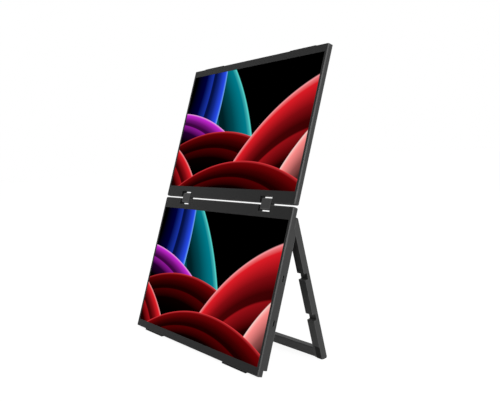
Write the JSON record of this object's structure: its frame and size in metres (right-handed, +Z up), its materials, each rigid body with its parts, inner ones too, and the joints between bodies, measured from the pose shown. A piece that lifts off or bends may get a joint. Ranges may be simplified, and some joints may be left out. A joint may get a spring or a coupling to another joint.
{
  "type": "laptop screen extender",
  "caption": "Two stacked hinged displays that fold face to face, with a folding U-shaped stand on the back of the lower one.",
  "frame": {"origin": "middle of the bounding box, on the plane that the rubber feet rest on", "axes": "+X to the right of a person facing the screens, +Y backwards, +Z up; the displays face -Y and lean back"},
  "size_m": [0.3532, 0.1558, 0.4264],
  "materials": {
    "bezel_plastic": "fine matt texture",
    "cover_plastic": "fine matt texture",
    "screen": "anti-glare panel, lit",
    "light_guide": "clear acrylic with white dots",
    "led": "strip with yellow LEDs",
    "tray_metal": "folded sheet",
    "circuit_board": "green laminate",
    "socket_metal": "plated shell",
    "steel": "plain",
    "black_screws": "black oxide",
    "rubber": "matt",
    "key_plastic": "satin",
    "hinge_metal": "satin grey paint",
    "ear_metal": "satin grey paint",
    "stand_plastic": "fine matt texture"
  },
  "bodies": {
    "lower_display": {"lower_bezel": "bezel_plastic", "lower_panel": "screen", "lower_light_guide": "light_guide", "lower_led_bar": "led", "lower_tray": "tray_metal", "lower_rear_cover": "cover_plastic", "main_board": "circuit_board", "usb_c_sockets": "socket_metal", "board_screws": "steel", "key_board": "circuit_board", "lower_hinge_brackets": "steel", "lower_hinge_shafts": "steel", "lower_cover_screws": "black_screws", "lower_feet": "rubber", "stand_ear_left": "ear_metal", "stand_ear_right": "ear_metal", "stand_ear_screws": "black_screws", "stand_pins": "steel"},
    "power_key": {"power_key": "key_plastic"},
    "brighter_key": {"brighter_key": "key_plastic"},
    "dimmer_key": {"dimmer_key": "key_plastic"},
    "hinge_links": {"hinge_block_left": "hinge_metal", "hinge_block_right": "hinge_metal"},
    "upper_display": {"upper_bezel": "bezel_plastic", "upper_panel": "screen", "upper_light_guide": "light_guide", "upper_led_bar": "led", "upper_tray": "tray_metal", "upper_rear_cover": "cover_plastic", "driver_board": "circuit_board", "upper_hinge_brackets": "steel", "upper_hinge_shafts": "steel", "upper_cover_screws": "black_screws", "upper_feet": "rubber"},
    "stand": {"leg_left": "stand_plastic", "leg_right": "stand_plastic", "foot_bar": "stand_plastic", "leg_pads": "rubber", "leg_screws": "black_screws"}
  },
  "joints": [
    {"name": "lower_axis", "type": "hinge", "parent": "lower_display", "child": "hinge_links", "pos_m": [0, -0.00194, 0.20865], "axis": [1, 0, 0], "range_deg": [0, 90]},
    {"name": "upper_axis", "type": "hinge", "parent": "hinge_links", "child": "upper_display", "pos_m": [0, 0.0011, 0.21733], "axis": [1, 0, 0], "range_deg": [-45, 90]},
    {"name": "stand_hinge", "type": "hinge", "parent": "lower_display", "child": "stand", "pos_m": [0, 0.002, 0.17216], "axis": [1, 0, 0], "range_deg": [-30, 0]},
    {"name": "power_key_press", "type": "slide", "parent": "lower_display", "child": "power_key", "axis": [1, 0, 0], "range_m": [0, 0.0004], "stiffness_N_per_m": 3000},
    {"name": "brighter_key_press", "type": "slide", "parent": "lower_display", "child": "brighter_key", "axis": [1, 0, 0], "range_m": [0, 0.0004], "stiffness_N_per_m": 3000},
    {"name": "dimmer_key_press", "type": "slide", "parent": "lower_display", "child": "dimmer_key", "axis": [1, 0, 0], "range_m": [0, 0.0004], "stiffness_N_per_m": 3000}
  ]
}
